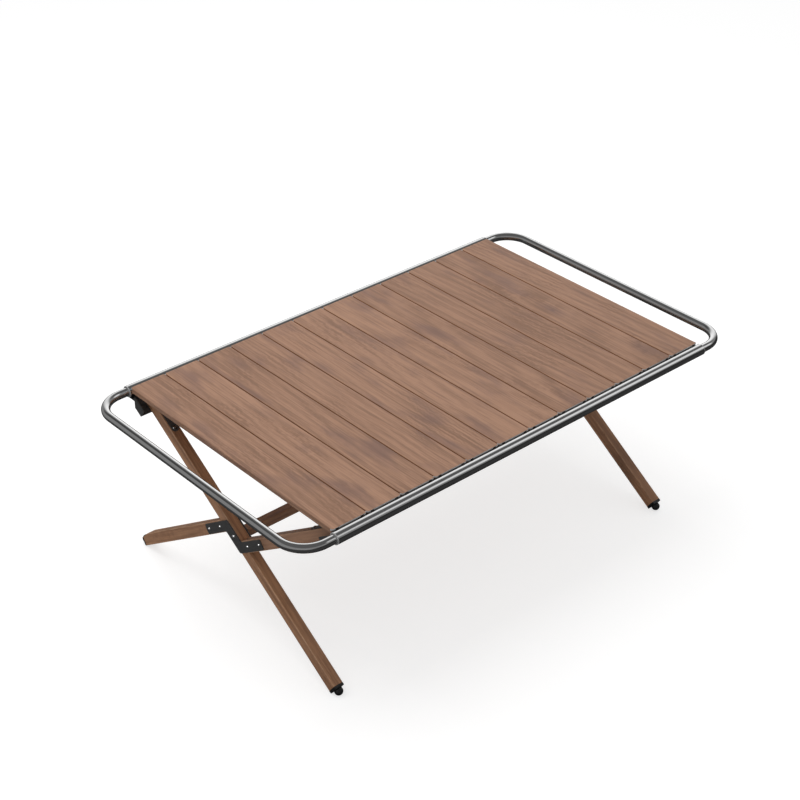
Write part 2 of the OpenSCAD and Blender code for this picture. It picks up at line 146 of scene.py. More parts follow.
# %% Node group: wood figure
figure, figure_in, figure_out = new_group(
    "wood figure",
    [("Along Y", "NodeSocketVector"), ("Board", "NodeSocketFloat"), ("Pale", "NodeSocketColor"),
     ("Deep", "NodeSocketColor"), ("Knot", "NodeSocketColor"), ("Seam shade", "NodeSocketFloat")],
    [("Color", "NodeSocketColor"), ("Roughness", "NodeSocketFloat"), ("Height", "NodeSocketFloat")])

luck = add_node(figure, "ShaderNodeTexWhiteNoise", {"W": figure_in["Board"]}, noise_dimensions="1D")
shift = stretch(figure, luck.outputs["Color"], (0.9, 7.0, 0.5))
place = add_node(figure, "ShaderNodeVectorMath", {0: figure_in["Along Y"], 1: shift}).outputs[0]

sway_noise = add_node(figure, "ShaderNodeTexNoise",
                      {"Vector": stretch(figure, place, (5.0, 1.6, 5.0)), "Scale": 1.0, "Detail": 2.0})
sway = stretch(figure, sway_noise.outputs["Color"], (0.02, 0.0, 0.02))
swayed = add_node(figure, "ShaderNodeVectorMath", {0: place, 1: sway}).outputs[0]

knot_cells = add_node(figure, "ShaderNodeTexVoronoi",
                      {"Vector": stretch(figure, place, (13.0, 5.0, 0.0)), "Scale": 1.0}, feature="F1")
knot_luck = add_node(figure, "ShaderNodeSeparateColor", {0: knot_cells.outputs["Color"]}).outputs[0]
knot_there = sum_of(figure, "GREATER_THAN", knot_luck, 0.62)
knot_core = fade(figure, knot_cells.outputs["Distance"], 0.015, 0.06, 1.0, 0.0)
knot_halo = fade(figure, knot_cells.outputs["Distance"], 0.03, 0.3, 1.0, 0.0)
print("wood figure: board offset, sway and knots")

# %% [markdown]
# The tone of a point is a sum: rings and curly patches from the slice, fibres and streaks along the
# grain, and a little from the board's own luck. It then picks a colour between the pale and the deep
# stain, clouds, knots and pores are laid over it in turn, and last a painted shade darkens the slat
# edges along the seams.

# %% Node group: wood figure, rings and fibres
tilt = add_node(figure, "ShaderNodeMapping",
                {"Vector": swayed, "Location": (-0.45, 0.0, -0.2),
                 "Rotation": (math.radians(3.2), 0.0, 0.0)})
rings = add_node(figure, "ShaderNodeTexWave",
                 {"Vector": tilt.outputs[0], "Scale": 30.0, "Distortion": 2.0, "Detail": 2.0,
                  "Detail Scale": 1.2}, wave_type="RINGS", rings_direction="Y", wave_profile="SIN")
curl = add_node(figure, "ShaderNodeTexWave",
                {"Vector": tilt.outputs[0], "Scale": 50.0, "Distortion": 5.0, "Detail": 2.0,
                 "Detail Scale": 1.3}, wave_type="RINGS", rings_direction="Y", wave_profile="SIN")
curl_place = noise(figure, stretch(figure, place, (14.0, 5.0, 14.0)), 1.0, 1.0)
curl_patch = fade(figure, curl_place, 0.48, 0.68, 0.0, 0.2)
fibre = noise(figure, stretch(figure, swayed, (330.0, 7.0, 330.0)), 1.0, 3.0)
streak = noise(figure, stretch(figure, swayed, (75.0, 2.4, 75.0)), 1.0, 2.0)
pore = noise(figure, stretch(figure, place, (900.0, 34.0, 900.0)), 1.0, 1.0)
cloud = noise(figure, stretch(figure, place, (17.0, 6.0, 17.0)), 1.0, 3.0)
board_tone = add_node(figure, "ShaderNodeSeparateColor", {0: luck.outputs["Color"]}).outputs[1]

tone = sum_of(figure, "MULTIPLY_ADD", rings.outputs["Fac"], 0.14, -0.37)
tone = sum_of(figure, "MULTIPLY_ADD", curl.outputs["Fac"], curl_patch, tone)
tone = sum_of(figure, "MULTIPLY_ADD", fibre, 0.95, tone)
tone = sum_of(figure, "MULTIPLY_ADD", streak, 0.48, tone)
tone = sum_of(figure, "MULTIPLY_ADD", board_tone, 0.2, tone)
tone = fade(figure, tone, 0.22, 0.86, 0.0, 1.0)
pore_line = fade(figure, pore, 0.62, 0.78, 0.0, 0.35)
grey_cloud = fade(figure, cloud, 0.5, 0.74, 0.0, 0.62)
knot_ring = sum_of(figure, "MULTIPLY", knot_there, knot_halo)
knot_heart = sum_of(figure, "MULTIPLY", knot_there, knot_core)

stained = mix_colours(figure, tone, figure_in["Pale"], figure_in["Deep"])
stained = mix_colours(figure, grey_cloud, stained, figure_in["Knot"])
stained = mix_colours(figure, sum_of(figure, "MULTIPLY", knot_ring, 0.5), stained, figure_in["Knot"])
stained = mix_colours(figure, sum_of(figure, "MULTIPLY", knot_heart, 0.8), stained, figure_in["Knot"])
stained = mix_colours(figure, pore_line, stained, figure_in["Knot"])
# Painted shade: the slat edges along the seams are darkened towards this near-black brown.
stained = mix_colours(figure, figure_in["Seam shade"], stained, (0.165, 0.062, 0.024, 1.0))
figure.links.new(stained, figure_out["Color"])
figure.links.new(fade(figure, fibre, 0.2, 0.8, 0.58, 0.42), figure_out["Roughness"])
grain_height = sum_of(figure, "MULTIPLY_ADD", rings.outputs["Fac"], 0.25, fibre)
figure.links.new(sum_of(figure, "SUBTRACT", grain_height, pore_line), figure_out["Height"])
print("wood figure group has", len(figure.nodes), "nodes")

# %% [markdown]
# Metal that was handled has smudges and hairline marks. They change the gloss and the height a
# little and hardly the colour, so one group gives the same marks to the bright tubes, the rivets,
# the powder coat and the rubber, each at its own size.

# %% Node group: handling marks
marks, marks_in, marks_out = new_group(
    "handling marks",
    [("Size", "NodeSocketFloat"), ("Low gloss", "NodeSocketFloat"), ("High gloss", "NodeSocketFloat"),
     ("Base", "NodeSocketColor"), ("Worn", "NodeSocketColor")],
    [("Color", "NodeSocketColor"), ("Roughness", "NodeSocketFloat"), ("Height", "NodeSocketFloat")])
spot = add_node(marks, "ShaderNodeTexCoord").outputs["Object"]
smudge = noise(marks, spot, 38.0, 3.0)
peel = add_node(marks, "ShaderNodeTexNoise", {"Vector": spot, "Scale": marks_in["Size"], "Detail": 2.0})
hairline = noise(marks, stretch(marks, spot, (60.0, 900.0, 900.0)), 1.0, 2.0)
rub = fade(marks, hairline, 0.66, 0.74, 0.0, 1.0)
worn = sum_of(marks, "MULTIPLY", rub, fade(marks, smudge, 0.45, 0.7, 0.05, 0.6))
gloss = add_node(marks, "ShaderNodeMapRange",
                 {0: smudge, 1: 0.3, 2: 0.7, 3: marks_in["Low gloss"], 4: marks_in["High gloss"]})
marks.links.new(gloss.outputs[0], marks_out["Roughness"])
marks.links.new(mix_colours(marks, worn, marks_in["Base"], marks_in["Worn"]), marks_out["Color"])
marks.links.new(peel.outputs["Fac"], marks_out["Height"])
print("handling marks group has", len(marks.nodes), "nodes")

# %% [markdown]
# A finish puts one of the two groups in front of a Principled shader. For wood the Mapping node
# turns the object's own coordinates until Y runs along the board: the slats already lie so, the
# legs slope, and the stretcher lies along X. The slats take their board number from their place.
# The legs' rounded edges are painted paler in patches, where a point is far from the leg's middle
# both ways: a painted highlight of the light those edges catch, which also reads as rubbed wear.

# %% Helpers for finishes
pivot = {side: Vector(joint["pos_m"]) for joint in frame["joints"] for side in ("left", "right")
         if joint["name"] == f"{side}_leg_fold"}
leg_middle = abs(pivot["right"].x)
leg_offset = 0.0256
# Where the painted edge highlight lies: bands across the leg and through its depth.
highlight_width = (0.0094, 0.0108)
highlight_depth = (0.0114, 0.0128)


def start_finish(name):
    finish = bpy.data.materials.new(name)
    finish.use_nodes = True
    return finish, finish.node_tree, finish.node_tree.nodes["Principled BSDF"]


def feed(tree, shader, group, strength, depth):
    tree.links.new(group.outputs["Color"], shader.inputs["Base Color"])
    tree.links.new(group.outputs["Roughness"], shader.inputs["Roughness"])
    bump = add_node(tree, "ShaderNodeBump",
                    {"Strength": strength, "Distance": depth, "Height": group.outputs["Height"]})
    tree.links.new(bump.outputs[0], shader.inputs["Normal"])


def painted_edge_highlight(tree, turned, turn, offset):
    """Mask of a leg's rounded edges for the painted highlight and wear; offset is how far the leg's halves lie
    from the pivot.
    """
    xyz = add_node(tree, "ShaderNodeSeparateXYZ", {0: turned}).outputs
    axis_height = pivot["left"].y * math.sin(turn[0]) + pivot["left"].z * math.cos(turn[0])
    over = sum_of(tree, "ABSOLUTE", sum_of(tree, "SUBTRACT", xyz[2], axis_height))
    over = sum_of(tree, "ABSOLUTE", sum_of(tree, "SUBTRACT", over, offset))
    beside = sum_of(tree, "SUBTRACT", sum_of(tree, "ABSOLUTE", xyz[0]), leg_middle)
    beside = fade(tree, sum_of(tree, "ABSOLUTE", beside), *highlight_width, 0.0, 1.0)
    both = sum_of(tree, "MULTIPLY", beside, fade(tree, over, *highlight_depth, 0.0, 1.0))
    patches = fade(tree, noise(tree, turned, 45.0, 2.0), 0.35, 0.65, 0.1, 0.5)
    return sum_of(tree, "MULTIPLY", both, patches)


def wood_finish(name, turn, board_width, pale, deep, knot,
                first_board=0.0, seam_shade=0.0, highlight_offset=None):
    finish, tree, shader = start_finish(name)
    spot = add_node(tree, "ShaderNodeTexCoord").outputs["Object"]
    turned = add_node(tree, "ShaderNodeMapping", {"Vector": spot, "Rotation": turn}).outputs[0]
    across = add_node(tree, "ShaderNodeSeparateXYZ", {0: spot}).outputs[0]
    boards_across = sum_of(tree, "MULTIPLY_ADD", across, 1 / board_width, first_board)
    board = sum_of(tree, "FLOOR", boards_across)
    from_middle = sum_of(tree, "PINGPONG", sum_of(tree, "ADD", boards_across, 0.5), 0.5)
    inside = sum_of(tree, "LESS_THAN", sum_of(tree, "ABSOLUTE", across), 0.5)
    # Painted shade in the seams: a thin strip at each side of a slat is darkened, except at the table's two outer
    # sides.
    edge = sum_of(tree, "MULTIPLY", inside, fade(tree, from_middle, 0.472, 0.489, 0.0, seam_shade))
    group = add_node(tree, "ShaderNodeGroup", node_tree=figure)
    for label, value in (("Pale", pale), ("Deep", deep), ("Knot", knot)):
        group.inputs[label].default_value = (*value, 1.0)
    tree.links.new(turned, group.inputs["Along Y"])
    tree.links.new(board, group.inputs["Board"])
    tree.links.new(edge, group.inputs["Seam shade"])
    feed(tree, shader, group, 0.25, 0.0006)
    # Painted highlight: the rounded leg edges are mixed towards a pale wood, in patches that also read as rubbed
    # wear.
    if highlight_offset is not None:
        mask = painted_edge_highlight(tree, turned, turn, highlight_offset)
        highlit_edge_colour = mix_colours(tree, mask, group.outputs["Color"], (0.6, 0.39, 0.25, 1.0))
        tree.links.new(highlit_edge_colour, shader.inputs["Base Color"])
    shader.inputs["Specular IOR Level"].default_value = 0.35
    return finish


def worked_finish(name, base, worn, gloss, peel_size, bump, metallic):
    finish, tree, shader = start_finish(name)
    group = add_node(tree, "ShaderNodeGroup", node_tree=marks)
    group.inputs["Size"].default_value = peel_size
    group.inputs["Low gloss"].default_value = gloss[0]
    group.inputs["High gloss"].default_value = gloss[1]
    group.inputs["Base"].default_value = (*base, 1.0)
    group.inputs["Worn"].default_value = (*worn, 1.0)
    feed(tree, shader, group, bump, 0.0002)
    shader.inputs["Metallic"].default_value = metallic
    return finish


print("finish helpers ready, pivots", sorted(pivot))

# %% [markdown]
# Each wood is given by its pale, deep and knot stain. The legs are darker than the slats, and the
# stretcher is the darkest. The split legs' upper halves get a darker copy of the leg wood, which
# paints the shade that the top casts on them. A worked surface is given by its base and worn tone,
# its range of roughness, the size and strength of its fine bumps, and how metallic it is.

# %% Finishes
leg_slope = math.radians(34.3)
slat_pitch = 0.085
brown = ((0.385, 0.216, 0.138), (0.225, 0.12, 0.073), (0.165, 0.094, 0.078))
dark_brown = ((0.4, 0.208, 0.111), (0.235, 0.117, 0.062), (0.16, 0.085, 0.05))
# Painted shade: a darker copy of the leg stain, for the split legs' upper halves that lie under the top.
painted_shade_brown = ((0.325, 0.175, 0.104), (0.19, 0.1, 0.058), (0.132, 0.074, 0.047))
darker_brown = ((0.29, 0.148, 0.08), (0.17, 0.083, 0.044), (0.115, 0.06, 0.036))
finishes = {
    "slat_wood": wood_finish("slat wood", (0, 0, 0), slat_pitch, *brown, seam_shade=0.8),
    "leg_wood": wood_finish("leg wood", (-leg_slope, 0, 0), 0.3, *dark_brown,
                            first_board=-0.5, highlight_offset=0),
    "split_leg_wood": wood_finish("split leg wood", (leg_slope, 0, 0), 0.3, *dark_brown,
                                  highlight_offset=leg_offset),
    "painted_shade_split_wood": wood_finish("upper split leg wood", (leg_slope, 0, 0), 0.3, *painted_shade_brown,
                                    highlight_offset=leg_offset),
    "stretcher_wood": wood_finish("stretcher wood", (0, 0, math.radians(90)), 3.0, *darker_brown),
}
worked = {
    "tube_steel": ("tube steel", 0.72, 0.8, (0.09, 0.16), 300, 0.015, 1.0),
    "ground_steel": ("ground steel", 0.8, 0.86, (0.24, 0.34), 600, 0.06, 0.75),
    "rivet_steel": ("rivet steel", 0.85, 0.9, (0.2, 0.32), 500, 0.03, 1.0),
    "black_steel": ("black coat", 0.05, 0.08, (0.38, 0.52), 1400, 0.3, 0.0),
    "foot_rubber": ("foot rubber", 0.012, 0.03, (0.3, 0.5), 900, 0.15, 0.0),
    "black_nickel": ("black nickel", 0.16, 0.3, (0.14, 0.24), 500, 0.03, 1.0),
    "black_plastic": ("black plastic", 0.02, 0.05, (0.4, 0.55), 700, 0.2, 0.0),
    "grey_plastic": ("grey plastic", 0.43, 0.5, (0.45, 0.6), 700, 0.2, 0.0),
    "cord": ("elastic cord", 0.018, 0.06, (0.65, 0.8), 1600, 0.6, 0.0),
}
for slot, (name, base, worn, gloss, peel_size, bump, metallic) in worked.items():
    finishes[slot] = worked_finish(name, (base,) * 3, (worn,) * 3, gloss, peel_size, bump, metallic)
print("finishes:", ", ".join(finishes))

# %% [markdown]
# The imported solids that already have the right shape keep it, and only get their finish: the slats
# with their cord bores, the wooden legs, the ledges and the folded sheet shoes.

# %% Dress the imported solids
wood_of = {"stretcher": "stretcher_wood"}
for side in ("left", "right"):
    # The upper halves take the darker wood, which paints the shade that the top casts on them.
    wood_of[f"{side}_split_leg_upper"] = "painted_shade_split_wood"
    wood_of[f"{side}_split_leg_lower"] = "split_leg_wood"
for node, solid in frame["nodes"].items():
    finish = finishes[wood_of.get(node, slot_of[node])]
    solid.data.materials.clear()
    solid.data.materials.append(finish)
print("dressed", len(frame["nodes"]), "solids")

# %% [markdown]
# A new piece starts as a bmesh. The helper below writes it to an object at the origin, shades it
# smooth except at sharp edges, gives it a finish, and ties it to the body of the solid it replaces.

# %% Helpers for pieces
def keep_piece(name, bm, slot, finish=None):
    mesh = bpy.data.meshes.new(name)
    bmesh.ops.remove_doubles(bm, verts=bm.verts[:], dist=1e-6)
    bmesh.ops.recalc_face_normals(bm, faces=bm.faces[:])
    bm.to_mesh(mesh)
    bm.free()
    mesh.shade_smooth()
    mesh.set_sharp_from_angle(angle=math.radians(38))
    mesh.materials.append(finishes[finish or slot])
    piece = bpy.data.objects.new(name, mesh)
    bpy.context.scene.collection.objects.link(piece)
    return piece


def stand_for(piece, node):
    even = piece.modifiers.new("even shading", "WEIGHTED_NORMAL")
    even.keep_sharp = True
    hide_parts(node)
    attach(piece, body_of[node])
    return piece


def turn_profile(bm, points, centre, axis, steps=40):
    """Spins a closed outline of (along the axis, out from the axis) points into a round body."""
    along = Vector(axis).normalized()
    out = along.orthogonal().normalized()
    ring = [bm.verts.new(Vector(centre) + along * a + out * r) for a, r in points]
    edges = [bm.edges.new((ring[i - 1], ring[i])) for i in range(len(ring))]
    bmesh.ops.spin(bm, geom=ring + edges, cent=centre, axis=along, dvec=(0, 0, 0),
                   angle=math.tau, steps=steps, use_merge=True, use_duplicate=False)
    return bm


def soften(bm, edges, width, segments=2):
    bmesh.ops.bevel(bm, geom=list(edges), offset=width, offset_type="OFFSET", affect="EDGES",
                    segments=segments, profile=0.5, material=-1)


print("piece helpers ready")

# %% [markdown]
# A rail is a round tube with a thick wall. The wall is a small rectangle, with its outer corners cut
# so that the end catches the light, spun once round the rail's axis.

# %% Rails
rail_radius = 0.0125
rail_bore = 0.00958
rim = 0.0007


def make_rail(edge):
    node = f"{edge}_rail"
    low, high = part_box(node)
    start = Vector((low.x, (low.y + high.y) / 2, (low.z + high.z) / 2))
    length = high.x - low.x
    wall = [(0, rail_bore), (0, rail_radius - rim), (rim, rail_radius),
            (length - rim, rail_radius), (length, rail_radius - rim), (length, rail_bore)]
    tube = turn_profile(bmesh.new(), wall, start, (1, 0, 0), steps=64)
    return stand_for(keep_piece(f"{edge}_rail_tube", tube, "tube_steel"), node)


rails = [make_rail(edge) for edge in ("near", "far")]
print("rails:", [len(tube.data.polygons) for tube in rails], "faces")

# %% [markdown]
# Where a tube slides into a rail, the rail's cut end is ground round to a dull bead. It is turned as
# a ring of its own, from half an oval, and is a hair wider than the rail, so that it can be duller.

# %% Rail mouths
bead_height = 0.0011
bead_sunk = 0.0005
bead_root = 0.0014
bead_proud = 0.00005


def make_mouth(edge, side):
    low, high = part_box(f"{edge}_rail")
    outward = Vector((-1 if side == "left" else 1, 0, 0))
    end = Vector((low.x if side == "left" else high.x, (low.y + high.y) / 2, (low.z + high.z) / 2))
    middle = (rail_radius + rail_bore) / 2
    half = (rail_radius - rail_bore) / 2 + bead_proud
    bead = [math.pi * i / 8 for i in range(9)]
    ring = [(bead_height * math.sin(a) - bead_sunk, middle - half * math.cos(a)) for a in bead]
    ring += [(-bead_root, middle + half), (-bead_root, middle - half)]
    bm = turn_profile(bmesh.new(), ring, end, outward, steps=64)
    mouth = keep_piece(f"{edge}_{side}_rail_mouth", bm, "tube_steel", "ground_steel")
    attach(mouth, body_of[f"{edge}_rail"])
    return mouth


corners_of_table = [(edge, side) for edge in ("near", "far") for side in ("left", "right")]
mouths = [make_mouth(*corner) for corner in corners_of_table]
print("rail mouths:", len(mouths))

# %% [markdown]
# Each end tube is one tube bent twice. Its ring is pushed along the rail, spun a quarter turn,
# pushed along the end bar, spun again and pushed back into the other rail, as a bender would do it.

# %% End tubes
tube_radius = 0.0095
bend_radius = 0.06


def last_ring(geometry):
    return [e for e in geometry if isinstance(e, bmesh.types.BMEdge)]


def push(bm, ring, distance):
    made = bmesh.ops.extrude_edge_only(bm, edges=ring)
    corners = [v for v in made["geom"] if isinstance(v, bmesh.types.BMVert)]
    bmesh.ops.translate(bm, verts=corners, vec=distance)
    return last_ring(made["geom"])


def bend(bm, ring, centre, angle):
    made = bmesh.ops.spin(bm, geom=ring, cent=centre, axis=(0, 0, 1), dvec=(0, 0, 0),
                          angle=angle, steps=16, use_merge=False, use_duplicate=False)
    return last_ring(made["geom_last"])


def make_end_tube(side):
    node = f"{side}_end_tube"
    sign = -1 if side == "left" else 1
    low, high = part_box(node)
    inner_x = high.x if side == "left" else low.x
    bar_x = low.x + tube_radius if side == "left" else high.x - tube_radius
    arm = bar_x - sign * bend_radius - inner_x
    near_y, far_y = low.y + tube_radius, high.y - tube_radius
    axis_z = high.z - tube_radius
    bm = bmesh.new()
    upright = Matrix.Translation((inner_x, far_y, axis_z)) @ Matrix.Rotation(math.radians(90), 4, "Y")
    bmesh.ops.create_circle(bm, segments=40, radius=tube_radius, matrix=upright)
    start = bm.edges[:]
    ring = push(bm, start, (arm, 0, 0))
    turn_x = bar_x - sign * bend_radius
    ring = bend(bm, ring, (turn_x, far_y - bend_radius, axis_z), -sign * math.radians(90))
    ring = push(bm, ring, (0, near_y - far_y + 2 * bend_radius, 0))
    ring = bend(bm, ring, (turn_x, near_y + bend_radius, axis_z), -sign * math.radians(90))
    ring = push(bm, ring, (-arm, 0, 0))
    bmesh.ops.edgeloop_fill(bm, edges=start)
    bmesh.ops.edgeloop_fill(bm, edges=ring)
    return stand_for(keep_piece(f"{side}_bent_tube", bm, "tube_steel"), node)


tubes = [make_end_tube(side) for side in ("left", "right")]
print("end tubes:", [len(tube.data.polygons) for tube in tubes], "faces")

# %% [markdown]
# The hinge plates are the cleverest pieces: each is a Z of sheet steel whose arms hold the two
# halves of the split leg on opposite sides of the pivot. The outline has eight corners, worked out
# in the split leg's own directions. The corners are rounded, the sheet gets its thickness, and its
# edges are eased.

# %% Hinge plates
up_split = Vector((0, -math.cos(leg_slope), math.sin(leg_slope)))
off_split = Vector((0, -math.sin(leg_slope), -math.cos(leg_slope)))
arm_half = 0.0115
arm_reach = 0.097
corner_radius = 0.0045


def make_hinge_plate(side, face):
    node = f"{side}_{face}_hinge_plate"
    low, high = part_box(node)
    outer = leg_offset + arm_half
    inner = leg_offset - arm_half
    waist = (outer + inner) / math.tan(2 * leg_slope)
    half_outline = [(0, outer), (arm_reach, outer), (arm_reach, inner), (waist, inner)]
    outline = half_outline + [(-u, -v) for u, v in half_outline]
    bm = bmesh.new()
    foot = Vector((low.x, pivot[side].y, pivot[side].z))
    corners = [bm.verts.new(foot + up_split * u + off_split * v) for u, v in outline]
    bm.faces.new(corners)
    bmesh.ops.bevel(bm, geom=corners, offset=corner_radius, offset_type="OFFSET", affect="VERTICES",
                    segments=5, profile=0.5, material=-1)
    made = bmesh.ops.extrude_face_region(bm, geom=bm.faces[:])
    top = [v for v in made["geom"] if isinstance(v, bmesh.types.BMVert)]
    bmesh.ops.translate(bm, verts=top, vec=(high.x - low.x, 0, 0))
    rim_edges = [e for e in bm.edges if abs(e.verts[0].co.x - e.verts[1].co.x) < 1e-7]
    soften(bm, rim_edges, 0.0005)
    return stand_for(keep_piece(f"{side}_{face}_z_plate", bm, "black_steel"), node)


plates = [make_hinge_plate(side, face) for side in ("left", "right") for face in ("outer", "inner")]
print("hinge plates:", len(plates))

# %% [markdown]
# Rivets, pivot bolts and strap bolts are turned parts. A round head is part of a circle, so its
# outline is a short arc worked out from the head's width and height and then spun.

# %% Rivets and bolts
head_height = 0.0022
rivet_head = 0.00375
rivet_radius = 0.0025
rivet_steps = (0.039, 0.086)
pivot_head = 0.0048
pivot_radius = 0.004
tail_cut = 0.0004


def head_outline(start, radius, height, steps=7):
    """Arc of a domed head from its rim at start to its crown, as (along, out) points."""
    ball = (radius ** 2 + height ** 2) / (2 * height)
    rim_angle = math.asin(radius / ball)
    angles = [rim_angle * (1 - i / steps) for i in range(steps + 1)]
    return [(start + ball * math.cos(a) - ball + height, ball * math.sin(a)) for a in angles]


def make_rivets(side):
    node = f"{side}_plate_rivets"
    low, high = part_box(node)
    length = high.x - low.x - 2 * head_height
    outer_head = head_outline(length, rivet_head, head_height)
    inner_head = [(length - a, r) for a, r in reversed(outer_head)]
    outline = inner_head + [(0, rivet_radius), (length, rivet_radius)] + outer_head
    bm = bmesh.new()
    for sign in (-1, 1):
        for along in rivet_steps:
            spot = pivot[side] + (up_split * along + off_split * leg_offset) * sign
            turn_profile(bm, outline, (low.x + head_height, spot.y, spot.z), (1, 0, 0), steps=28)
    return stand_for(keep_piece(f"{side}_rivet_set", bm, "rivet_steel"), node)


def make_pivot_bolt(side):
    node = f"{side}_pivot_bolt"
    low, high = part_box(node)
    outward = Vector((-1 if side == "left" else 1, 0, 0))
    tail = Vector((high.x if side == "left" else low.x, pivot[side].y, pivot[side].z))
    length = high.x - low.x - head_height
    shank = [(0, 0), (0, pivot_radius - tail_cut), (tail_cut, pivot_radius), (length, pivot_radius)]
    outline = shank + head_outline(length, pivot_head, head_height)
    bm = turn_profile(bmesh.new(), outline, tail, outward, steps=36)
    return stand_for(keep_piece(f"{side}_pivot_pin", bm, "rivet_steel"), node)


fasteners = [make(side) for make in (make_rivets, make_pivot_bolt) for side in ("left", "right")]
print("rivet sets and pivot bolts:", len(fasteners))

# %% [markdown]
# Each leg top carries a strap on its upper face, held by one round-headed bolt. The strap is a
# rectangle whose two lower corners are rounded until they meet, so it ends in a half circle.
# One strap is drawn on the far right leg; mirrors put the other three in place.

# %% Straps and their bolts
frame_y = (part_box("near_rail")[0].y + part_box("far_rail")[1].y) / 2
leg_depth = 0.027
strap_width = 0.017
strap_rise = 0.0715
strap_thickness = 0.002
strap_bolt_along = 0.25868
strap_bolt_radius = 0.0025
strap_bolt_head = 0.005
strap_bolt_sunk = 0.0122


def strap_place(edge, side):
    """Matrix from the strap's own frame, bolt at the origin and Y up the leg, to its leg."""
    flip_x = Matrix.Scale(-1 if side == "left" else 1, 4, (1, 0, 0))
    flip_y = Matrix.Scale(-1 if edge == "near" else 1, 4, (0, 1, 0))
    middle = Matrix.Translation((0, frame_y, 0))
    leg = Matrix.Translation((leg_middle, pivot["right"].y - frame_y, pivot["right"].z))
    slope = Matrix.Rotation(leg_slope, 4, "X")
    bolt = Matrix.Translation((0, strap_bolt_along, leg_depth / 2))
    return middle @ flip_y @ flip_x @ leg @ slope @ bolt


def make_strap(edge, side):
    node = f"{edge}_{side}_strap"
    half = strap_width / 2
    bm = bmesh.new()
    corners = [bm.verts.new((x, y, 0)) for x, y in
               ((-half, -half), (half, -half), (half, strap_rise), (-half, strap_rise))]
    bm.faces.new(corners)
    bmesh.ops.bevel(bm, geom=corners[:2], offset=half * 0.999, offset_type="OFFSET", affect="VERTICES",
                    segments=12, profile=0.5, material=-1)
    made = bmesh.ops.extrude_face_region(bm, geom=bm.faces[:])
    top = [v for v in made["geom"] if isinstance(v, bmesh.types.BMVert)]
    bmesh.ops.translate(bm, verts=top, vec=(0, 0, strap_thickness))
    soften(bm, [e for e in bm.edges if min(v.co.z for v in e.verts) > strap_thickness / 2], 0.0004)
    bmesh.ops.transform(bm, matrix=strap_place(edge, side), verts=bm.verts[:])
    return stand_for(keep_piece(f"{edge}_{side}_leg_strap", bm, "black_steel"), node)


def make_strap_bolt(edge, side):
    node = f"{edge}_{side}_strap_bolt"
    length = strap_bolt_sunk + strap_thickness
    shank = [(0, 0), (0, strap_bolt_radius), (length, strap_bolt_radius)]
    outline = shank + head_outline(length, strap_bolt_head, head_height)
    bm = turn_profile(bmesh.new(), outline, (0, 0, -strap_bolt_sunk), (0, 0, 1), steps=32)
    bmesh.ops.transform(bm, matrix=strap_place(edge, side), verts=bm.verts[:])
    return stand_for(keep_piece(f"{edge}_{side}_strap_screw", bm, "black_steel", "black_nickel"), node)


straps = [make_strap(*corner) for corner in corners_of_table]
strap_bolts = [make_strap_bolt(*corner) for corner in corners_of_table]
print("straps:", len(straps), "strap bolts:", len(strap_bolts))

# %% [markdown]
# The feet are rubber balls on a stud. A ball touches the floor at one point, so it is turned from
# half a circle, cut flat where it meets its plate, with a shallow moulding groove round it.

# %% Ball feet
ball_radius = 0.0095
ball_flat = 0.0065
groove_depth = 0.00025
groove_half = 0.0011
stud_radius = 0.004
stud_top = 0.032


def foot_frame(edge, side):
    """Middle of a ball foot, with the directions up its leg and out of the leg's upper face."""
    low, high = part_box(f"{edge}_{side}_ball_foot")
    reach = -1 if edge == "near" else 1
    middle_y = low.y + ball_radius if edge == "near" else high.y - ball_radius
    centre = Vector(((low.x + high.x) / 2, middle_y, ball_radius))
    up_leg = Vector((0, -reach * math.cos(leg_slope), math.sin(leg_slope)))
    over_leg = Vector((0, reach * math.sin(leg_slope), math.cos(leg_slope)))
    return centre, up_leg, over_leg


def make_ball_foot(edge, side):
    centre, up_leg, _ = foot_frame(edge, side)
    flat_angle = math.acos(ball_flat / ball_radius)
    steps = 18
    arc = [math.pi - (math.pi - flat_angle) * i / steps for i in range(steps + 1)]
    ball = [(ball_radius * math.cos(a), ball_radius * math.sin(a)) for a in arc]
    ball = [(a, r - groove_depth if abs(a) < groove_half else r) for a, r in ball]
    stud = [(ball_flat, stud_radius), (stud_top - 0.0002, stud_radius),
            (stud_top, stud_radius - tail_cut), (stud_top, 0)]
    bm = turn_profile(bmesh.new(), ball + stud, centre, up_leg, steps=36)
    piece = keep_piece(f"{edge}_{side}_foot_ball", bm, "foot_rubber")
    return stand_for(piece, f"{edge}_{side}_ball_foot")


feet = [make_ball_foot(*corner) for corner in corners_of_table]
print("ball feet:", len(feet))

# %% [markdown]
# A black plate closes each leg's end. It is a block with the leg's outline, eased all round, and it
# is thick enough to hold the top of the ball. The far plates are lower, as their legs are bevelled.

# %% Foot plates
plate_low = 0.0041
plate_high = 0.01
leg_edge_radius = 0.002
foot_bevel = 0.006


